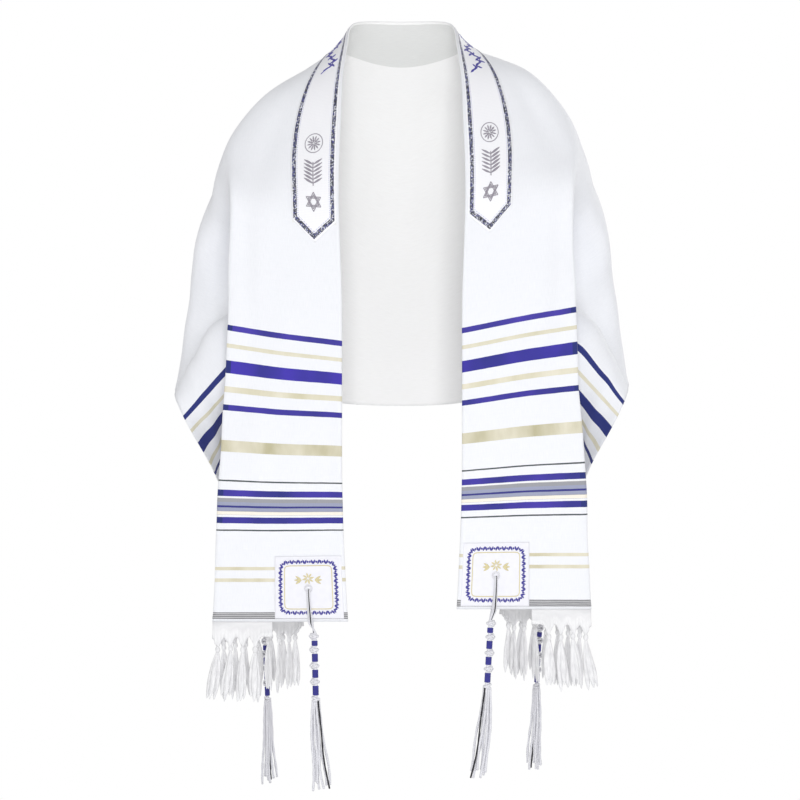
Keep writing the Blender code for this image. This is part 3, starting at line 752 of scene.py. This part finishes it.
vine, motifs = Mesh(), Mesh()
vinePlaces = np.linspace(-ornament["vineTo"], ornament["vineTo"], 240)
stitch(vine, [(x, vineAcross(x)) for x in vinePlaces], ornament["vineHalf"])
leafAt = np.arange(-ornament["vineTo"] + ornament["leafFrom"], ornament["vineTo"],
                   ornament["vinePitch"] / ornament["leavesASwing"])
for number, x in enumerate(leafAt):
    way = 1 if number % 2 else -1
    for root, ahead, aside, half in ornament["vineLeaves"]:
        leaf(vine, (x + root, vineAcross(x + root)), (x + ahead, vineAcross(x) + way * aside), half)
for side in (-1, 1):
    centre = np.array((band["shift"] + side * ornament["rosette"], bandMiddle))
    for petals, long, start in ornament["petals"]:
        rosette(motifs, centre, petals, long, start, ornament["petalHalf"])
    for radius, steps, half in ornament["rings"]:
        stitch(motifs, ringAt(centre, radius, steps), half)
    sprigAt = band["shift"] + side * ornament["sprig"]
    stem = np.linspace(-ornament["sprigLong"], ornament["sprigLong"], 9)
    stitch(motifs, [(sprigAt + side * k, bandMiddle) for k in stem], ornament["sprigHalf"])
    back, aside, half = ornament["sprigLeaf"]
    spread = np.linspace(-ornament["sprigFrom"], ornament["sprigFrom"], ornament["sprigPairs"])
    for k in spread * ornament["sprigLong"]:
        for way in (-1, 1):
            tip = (sprigAt + side * (k + back), bandMiddle + way * aside)
            leaf(motifs, (sprigAt + side * k, bandMiddle), tip, half)
    centre = np.array((band["shift"] + side * ornament["star"], bandMiddle))
    for flip in (0, math.pi):
        turn = flip + tau * np.arange(4) / 3
        for line in ornament["starLines"]:
            corners = centre + ornament["starRadius"] * line * np.stack([np.cos(turn), np.sin(turn)], axis=1)
            for a, b in zip(corners, corners[1:]):
                stitch(motifs, [a + (b - a) * t for t in np.linspace(0, 1, 6)], ornament["starHalf"])
bandVine = vine.make("neckbandVine", blueThread, "band_weave", [])
bandMotifs = motifs.make("neckbandMotifs", mauveThread, "band_weave", [])
print("neckband made")


# Corner patches, with a ring of blue leaf stitches, a thin gold frame and a worked eyelet
patch = {
    "long": 0.081, "inset": 0.004, "front": (0.004, 0.0885), "rear": (0.422, 0.525), "steps": (49, 51),
    "ringInset": 0.0075, "ringStitches": 94, "ringSquare": 8.0,  # the higher, the squarer its corners
    "ringReach": 0.0026, "ringHalf": 0.0013, "ringLean": 0.35, "ringShort": 0.55,  # every third is short
    "frameInset": 0.0125, "frameStitches": 90, "frameSquare": 14.0, "frameHalf": 0.0006,
    "eyelet": 0.043, "eyeletRadius": 0.0042, "eyeletHalf": 0.0013, "eyeletRise": 0.0009,
    "flower": 0.0130, "petals": (8, 0.0072, 0.2, 0.0012),  # over the eyelet; how many, length, start, half
    "spray": (0.002, 0.0085), "sprayTurns": (-0.6, 0.0, 0.6), "sprayLeaf": (0.0085, 0.0015),
}


def roundedPlace(centre, halfLong, halfWide, turn, square):
    c, s = math.cos(turn), math.sin(turn)
    power = 2 / square
    return (centre[0] + halfLong * math.copysign(abs(c) ** power, c),
            centre[1] + halfWide * math.copysign(abs(s) ** power, s))


# Places at an even pitch round a rounded square
def evenRound(centre, halfLong, halfWide, count, square):
    fine = np.array([roundedPlace(centre, halfLong, halfWide, t, square) for t in np.linspace(0, tau, 721)])
    run = np.concatenate([[0], np.cumsum(np.linalg.norm(np.diff(fine, axis=0), axis=1))])
    at = np.linspace(0, run[-1], count + 1)
    return np.stack([np.interp(at, run, fine[:, k]) for k in (0, 1)], axis=1)


def makePatch(word, side, end):
    low, high = patch[end]
    near = endOf(side) - side * patch["inset"]
    a0, a1 = sorted((near, near - side * patch["long"]))
    alongSteps, acrossSteps = patch["steps"]
    grid = np.meshgrid(np.linspace(a0, a1, alongSteps), np.linspace(low, high, acrossSteps), indexing="ij")
    name = end.capitalize() + word.capitalize()
    outline = [(a0, low), (a1, low), (a1, high), (a0, high)]
    cloth = sewnSheet("patch" + name, *grid, outline, patchWeave, "patch_weave", f"patch_{end}_{word}")
    centre = np.array(((a0 + a1) / 2, (low + high) / 2))
    halfLong, halfWide = (a1 - a0) / 2, (high - low) / 2
    blue, gold, white = Mesh(), Mesh(), Mesh()
    ring = evenRound(centre, halfLong - patch["ringInset"], halfWide - patch["ringInset"],
                     patch["ringStitches"], patch["ringSquare"])[:-1]
    for k, p in enumerate(ring):
        run = ring[(k + 1) % len(ring)] - ring[k - 1]
        run /= np.linalg.norm(run)
        way = np.array((-run[1], run[0])) + run * patch["ringLean"] * (1 if k % 2 else -1)
        reach = patch["ringReach"] * (1.0 if k % 3 else patch["ringShort"])
        leaf(blue, p - way * reach, p + way * reach, patch["ringHalf"])
    frameLine = evenRound(centre, halfLong - patch["frameInset"], halfWide - patch["frameInset"],
                          patch["frameStitches"], patch["frameSquare"])
    stitch(gold, frameLine, patch["frameHalf"])
    eyelet = np.array((endOf(side) - side * patch["eyelet"], centre[1]))
    stitch(white, ringAt(eyelet, patch["eyeletRadius"], 21), patch["eyeletHalf"], patch["eyeletRise"])
    flower = eyelet - (side * patch["flower"], 0)
    rosette(gold, flower, *patch["petals"])
    down, aside = patch["spray"]
    long, half = patch["sprayLeaf"]
    for way in (-1, 1):
        root = flower + (side * down, way * aside)
        for turn in patch["sprayTurns"]:
            lead = np.array((-side * math.sin(turn), way * math.cos(turn)))
            leaf(gold, root, root + lead * long, half)
    blue.make("patchRing" + name, blueThread, "patch_weave", [])
    gold.make("patchGold" + name, goldThread, "patch_weave", [])
    white.make("patchEyelet" + name, cordYarn, "patch_weave", [])


for side, word in ((-1, "right"), (1, "left")):
    makePatch(word, side, "front")
    makePatch(word, side, "rear")
print("patches made")


# The fringe: a pale heading whose lower edge gathers into webs, a knot under each, and soft tails
fringe = {
    "from": 0.092, "to": 0.418, "gap": 0.0003, "half": 0.0007,
    "headingDrop": 0.019, "webDrop": 0.016, "webPower": 1.5,
    "pleatDepth": 0.0011, "pleatPitch": 0.0045,  # small pleats that run into the knots
    "bundles": (0.113, 0.1285, 0.144, 0.1595, 0.187, 0.2005, 0.214, 0.2275, 0.241, 0.2545, 0.268,
                0.311, 0.334, 0.357, 0.380),
    "knotDrop": 0.001, "knotHalf": (0.0034, 0.0030),
    # up from the knot's middle, and its size there as a share
    "knotShape": [(0.0045, 0.35), (0.0030, 0.8), (0.0012, 1.0), (-0.0008, 1.0), (-0.0026, 0.75),
                  (-0.0040, 0.4)],
    "splayAt": (0.113, 0.1595, 0.175, 0.187),  # tails lean out at the fold, by this much
    "splayBy": (0.001, 0.011, 0.006, 0.0),
    "tailLong": 0.063, "tailsEach": 3, "tailHalf": 0.0033, "tailFlat": 0.0012, "tailApart": 0.0050,
    # share of a tail's length, its half width and half depth as shares
    "tailShape": [(0.0, 0.45, 0.9), (0.10, 0.62, 1.0), (0.28, 1.0, 1.0), (0.50, 1.22, 0.95),
                  (0.70, 1.18, 0.85), (0.86, 0.80, 0.7), (0.96, 0.42, 0.5), (1.0, 0.12, 0.25)],
    "longVaries": (0.90, 1.06), "halfVaries": (0.92, 1.1),
    "apartVaries": 0.0008, "waveVaries": 0.0012, "depthVaries": 0.0014, "depths": (-0.0008, 0.0012),
    "seed": 7,
}


def makeFringe(word, side):
    draw = random.Random(fringe["seed"] + side)
    body = Mesh()
    places = np.linspace(fringe["from"], fringe["to"], 261)
    top = onCloth(np.full_like(places, endOf(side)), places) - (0, 0, fringe["gap"])
    tangent = np.gradient(top, axis=0) * (1, 1, 0)
    tangent /= np.linalg.norm(tangent, axis=1, keepdims=True)
    normal = np.cross((0, 0, -side), tangent)
    bundles = np.array(fringe["bundles"])
    nearest = np.min(np.abs(places[:, None] - bundles), axis=1)
    pitch = np.interp(places, bundles, np.gradient(bundles)) / 2
    web = np.clip(1 - nearest / pitch, 0, 1) ** fringe["webPower"]
    drop = fringe["headingDrop"] + fringe["webDrop"] * web
    shares = np.linspace(0, 1, 13)
    pleats = shares[:, None] ** 2 * fringe["pleatDepth"] * np.sin(places * tau / fringe["pleatPitch"])
    grid = top - shares[:, None, None] * drop[:, None] * np.array((0, 0, 1.0))
    grid = grid + normal * pleats[..., None]
    order = slice(None, None, side)
    notes = np.meshgrid(shares * fringe["headingDrop"], places, indexing="ij")
    notes = np.stack([*notes, np.zeros_like(pleats)], axis=2)
    off = normal * fringe["half"]
    body.sheet((grid + off)[order], (grid - off)[order], notes[order])
    knotUp, knotSize = np.array(fringe["knotShape"]).T
    knotWide, knotDeep = fringe["knotHalf"]
    for number, across in enumerate(bundles):
        k = int(np.argmin(np.abs(places - across)))
        splay = float(np.interp(across, fringe["splayAt"], fringe["splayBy"]))
        axis, out = tangent[k], normal[k]
        knot = top[k] - (0, 0, drop[k] + fringe["knotDrop"])
        body.tube([knot + (0, 0, z) for z in knotUp], knotSize * knotWide, knotSize * knotDeep, axis,
                  sides=9, note=number)
        for tail in range(fringe["tailsEach"]):
            lane = tail - (fringe["tailsEach"] - 1) / 2
            long = fringe["tailLong"] * draw.uniform(*fringe["longVaries"])
            spread = lane * fringe["tailApart"] + draw.uniform(-fringe["apartVaries"], fringe["apartVaries"])
            wave = draw.uniform(-fringe["waveVaries"], fringe["waveVaries"])
            depth = draw.uniform(-fringe["depthVaries"], fringe["depthVaries"]) + fringe["depths"][tail % 2]
            path, wide, deep = [], [], []
            for share, w, d in fringe["tailShape"]:
                lean = spread * share ** 0.6 + wave * math.sin(5 * share) + splay * share ** 1.3
                path.append(knot - (0, 0, 0.002 + long * share) + axis * lean + out * depth * share ** 0.7)
                wide.append(w * fringe["tailHalf"] * draw.uniform(*fringe["halfVaries"]))
                deep.append(d * fringe["tailFlat"])
            body.tube(path, wide, deep, axis, note=number + tail / fringe["tailsEach"])
    return body.make("fringe" + word.capitalize(), fringeYarn, "fringe_yarn", ["fringe_" + word])


fringes = [makeFringe("right", -1), makeFringe("left", 1)]
print("fringes made")


# The tzitzit: cords through the eyelet, double knots with blue windings between, and eight tails
tassel = {
    "headHalf": (0.0036, 0.0027), "headLong": 0.086, "coreShare": 0.82,
    "knots": (0.004, 0.021, 0.041, 0.061, 0.083),  # down the head
    "knotCord": 0.0016, "knotShares": (1.12, 1.15), "knotTilt": 0.45, "knotLean": 0.0032, "knotApart": 0.0011,
    "earShare": 0.9, "earReach": 0.0030, "earDrop": 0.002, "earOut": 0.001, "earHalf": 0.0009,
    "windings": ((0.009, 0.0165), (0.0255, 0.0365), (0.0455, 0.0565), (0.0655, 0.0785)),
    "turnPitch": 0.0013, "turnBulge": 0.13, "windingShares": (1.02, 1.05), "windingEnds": (0.0006, 0.55),
    "cordHalf": 0.0008, "cordPitch": 0.0015, "overGap": 0.0004, "underGap": 0.0002,
    "cordNarrows": 0.35, "cordDips": 0.002, "threadThinner": 0.9,
    "tailLong": 0.108, "tailHalf": 0.00145, "tailSizes": (1.05, 0.75),  # of a white tail, and of the dark one
    "tailsAcross": (-1, -0.5, 0, 0.5), "tailsDeep": (-1, 0), "darkTail": 4,
    "apart": (0.0044, 0.0085), "deep": (0.0030, 0.0045),  # how tails part at the head, and more by their tips
    "curl": (0.0012, 0.0026),
    "seed": 11,
}
# which one, how far its head's top is down from the eyelet, and how far out the top, the end and the tips are
tassels = [
    ("right", -1, "front", 0.056, (-0.006, -0.008, -0.016)),
    ("left", 1, "front", 0.056, (-0.005, -0.010, -0.022)),
    ("right", -1, "rear", 0.090, (0.000, -0.006, -0.010)),
    ("left", 1, "rear", 0.090, (0.000, -0.008, -0.014)),
]


def makeTassel(word, side, corner, top, sway):
    name = corner.capitalize() + word.capitalize()
    draw = random.Random(tassel["seed"] + len(name) + side)
    end = endOf(side)
    across = sum(patch[corner]) / 2
    edge = onCloth(end, across)
    tangent = (onCloth(end, across + 0.02) - onCloth(end, across - 0.02)) * (1, 1, 0)
    tangent /= np.linalg.norm(tangent)
    if tangent[0] * side < 0:
        tangent = -tangent
    out = np.cross(tangent, (0, 0, 1))
    if out @ (onCloth(end, across, 0.01) - edge) < 0:
        out = -out
    eyelet = onCloth(end - side * patch["eyelet"], across)
    down = np.array((0, 0, -1.0))
    halfWide, halfDeep = tassel["headHalf"]
    white, blue, black = Mesh(), Mesh(), Mesh()

    def headAt(z):
        lean = sway[0] + (sway[1] - sway[0]) * z / tassel["headLong"]
        return np.array((edge[0], edge[1], eyelet[2] - top)) + tangent * lean + down * z

    core = np.linspace(0, tassel["headLong"], 30)
    white.tube([headAt(z) for z in core], halfWide * tassel["coreShare"], halfDeep * tassel["coreShare"],
               tangent, sides=12)
    shareWide, shareDeep = tassel["windingShares"]
    endReach, endShare = tassel["windingEnds"]
    for start, stop in tassel["windings"]:
        rings = np.linspace(start, stop, int((stop - start) / tassel["turnPitch"]) * 4 + 1)
        bulge = 1 + tassel["turnBulge"] * np.abs(np.sin(np.pi * (rings - start) / tassel["turnPitch"]))
        size = bulge * np.clip(np.minimum(rings - start, stop - rings) / endReach, endShare, 1)
        blue.tube([headAt(z) for z in rings], halfWide * size * shareWide, halfDeep * size * shareDeep,
                  tangent, sides=14)
    shareWide, shareDeep = tassel["knotShares"]
    tiltedBy = math.sin(tassel["knotTilt"]) * tassel["knotLean"]
    for number, z in enumerate(tassel["knots"]):  # each knot is two crossed turns of cord
        for way in (-1, 1):
            path = []
            for t in np.linspace(0, tau, 17):
                drop = way * (tassel["knotApart"] + tiltedBy * math.cos(t))
                aside = math.cos(t) * halfWide * shareWide
                path.append(headAt(z + drop) + tangent * aside + out * math.sin(t) * halfDeep * shareDeep)
            white.tube(path, tassel["knotCord"], tassel["knotCord"], down, sides=7, ply=2,
                       twist=yarn["twist"], note=number)
        if number < len(tassel["knots"]) - 1:  # with an ear of it at its side, but for the last
            path = []
            for t in np.linspace(-0.3, math.pi + 0.3, 11):
                aside = halfWide * tassel["earShare"] + tassel["earReach"] * math.sin(t)
                path.append(headAt(z + tassel["earDrop"] * math.cos(t)) + tangent * aside)
            white.tube(np.array(path) + out * tassel["earOut"], tassel["earHalf"], tassel["earHalf"], out,
                       sides=6, note=number)
    over = stitchBase + tassel["cordHalf"] + tassel["overGap"]
    under = -(wallOut + tassel["cordHalf"] + tassel["underGap"])
    for off in (over, under):
        for lane in range(4):
            shift = (lane - 1.5) * tassel["cordPitch"]
            path = []
            for up in np.linspace(patch["eyelet"], 0.001, 14):  # down the cloth from the eyelet to the hem
                share = up / patch["eyelet"]
                narrow = 1 - tassel["cordNarrows"] * share
                place = onCloth(end - side * up, across + side * shift * narrow, off)
                path.append(place + tangent * (sway[0] * 0.25 * (1 - share) ** 2))
            start = path[-1]
            goal = headAt(0.001) + tangent * shift * 0.6 + out * (0.0008 if off > 0 else -0.0008)
            for t in np.linspace(0.15, 1, 8):  # and on to the first knot
                flat = start + (goal - start) * (t * t * (3 - 2 * t))
                path.append(np.array((flat[0], flat[1], start[2] + (goal[2] - start[2]) * t)))
            if off > 0:
                path[0] = path[0] - normalAt(end - side * patch["eyelet"], across) * tassel["cordDips"]
            dark = off > 0 and lane == 2
            half = tassel["cordHalf"] * (tassel["threadThinner"] if dark else 1.0)
            (black if dark else white).tube(path, half, half, tangent, sides=7, ply=2,
                                            twist=yarn["twist"], note=lane)
    tailTop = headAt(tassel["headLong"] - 0.002)
    for lane in range(8):
        x, y = tassel["tailsAcross"][lane % 4], tassel["tailsDeep"][lane // 4]
        long = tassel["tailLong"] * (1 + 0.05 * math.sin(5 * x + 3 * y + side))
        phase, curl = draw.uniform(0, tau), draw.uniform(*tassel["curl"])
        path = []
        for share in np.linspace(0, 1, 22):
            spread = share ** 0.8
            drift = (sway[2] - sway[1]) * share ** 1.5
            drift += (x + 0.25) * (tassel["apart"][0] + tassel["apart"][1] * spread)
            drift += curl * math.sin(phase + 7 * share) * share
            depth = (y + 0.5) * (tassel["deep"][0] + tassel["deep"][1] * spread)
            path.append(tailTop + tangent * drift + out * depth + down * long * share)
        dark = lane == tassel["darkTail"]
        half = tassel["tailHalf"] * tassel["tailSizes"][dark]
        (black if dark else white).tube(path, half, half, tangent, ply=2, twist=yarn["twist"], note=lane)
    return [white.make("tzitzitCords" + name, cordYarn, "tassel_cord", [f"tzitzit_{corner}_{word}"]),
            blue.make("tzitzitWindings" + name, blueYarn, "tassel_cord", []),
            black.make("tzitzitThread" + name, blackYarn, "tassel_cord", [])]


tasselPieces = [piece for row in tassels for piece in makeTassel(*row)]
print("tzitzit made")


# A round pale floor far below, a backdrop that looks white from all sides, and soft light
stage = {"floor": -1.55, "radius": 2.6, "colour": "#f4f4f5"}


def makeStage():
    bpy.ops.mesh.primitive_circle_add(vertices=96, radius=stage["radius"], fill_type="NGON",
                                      location=(0, 0, stage["floor"]))
    floor = bpy.context.object
    floor.name = "studioFloor"
    bpy.ops.object.transform_apply(location=True, rotation=True, scale=True)
    paper, shader = newFinish("mattStudioPaper", 0.95, 0.0)[:2]
    shader.inputs["Base Color"].default_value = linear(stage["colour"])
    floor.data.materials.append(paper)


makeStage()

light = {
    "sky": 0.52,  # how strongly the white backdrop lights
    # name, watts, width and height, place, what it aims at
    "lamps": [
        ("frontLight", 81.0, (0.9, 0.9), (0.1, -4.2, -0.3), (0, 0, -0.5)),
        ("rearLight", 60.0, (1.6, 1.6), (2.4, 3.6, 1.4), (0, 0, -0.4)),
        ("leftLight", 12.0, (1.6, 2.2), (-2.6, -1.2, 0.0), (0, 0, -0.4)),
        ("rightLight", 12.0, (1.6, 2.2), (2.6, -1.2, 0.0), (0, 0, -0.4)),
    ],
}
world = bpy.data.worlds.new("studioWorld")
bpy.context.scene.world = world
world.use_nodes = True
sky = world.node_tree.nodes["Background"]
sky.inputs["Color"].default_value = linear("#ffffff")
seen = addNode(world.node_tree, "LightPath", output="Is Camera Ray")  # the camera sees it at full strength
strength = addNode(world.node_tree, "Math", (seen, 1 - light["sky"], light["sky"]), operation="MULTIPLY_ADD")
world.node_tree.links.new(strength, sky.inputs["Strength"])

for name, power, size, place, aim in light["lamps"]:
    data = bpy.data.lights.new(name, "AREA")
    data.energy = power
    data.shape = "RECTANGLE"
    data.size, data.size_y = size
    lamp = bpy.data.objects.new(name, data)
    bpy.context.scene.collection.objects.link(lamp)
    lamp.location = place
    way = np.array(aim) - np.array(place)
    steep = math.atan2(math.hypot(way[0], way[1]), -way[2])
    lamp.rotation_euler = (steep, 0, math.atan2(way[1], way[0]) - math.pi / 2)

view = {"place": (-0.0025, -3.4, -0.502), "halfField": 0.5 / 3.2, "sensor": 36}
camera = bpy.data.cameras.new("camera")
camera.sensor_width = view["sensor"]
camera.lens = view["sensor"] / 2 / view["halfField"]
eye = bpy.data.objects.new("camera", camera)
eye.location = view["place"]
eye.rotation_euler = (math.pi / 2, 0, 0)
bpy.context.scene.collection.objects.link(eye)
bpy.context.scene.camera = eye
bpy.context.scene.view_settings.view_transform = "Standard"
print("stage, light and camera set")
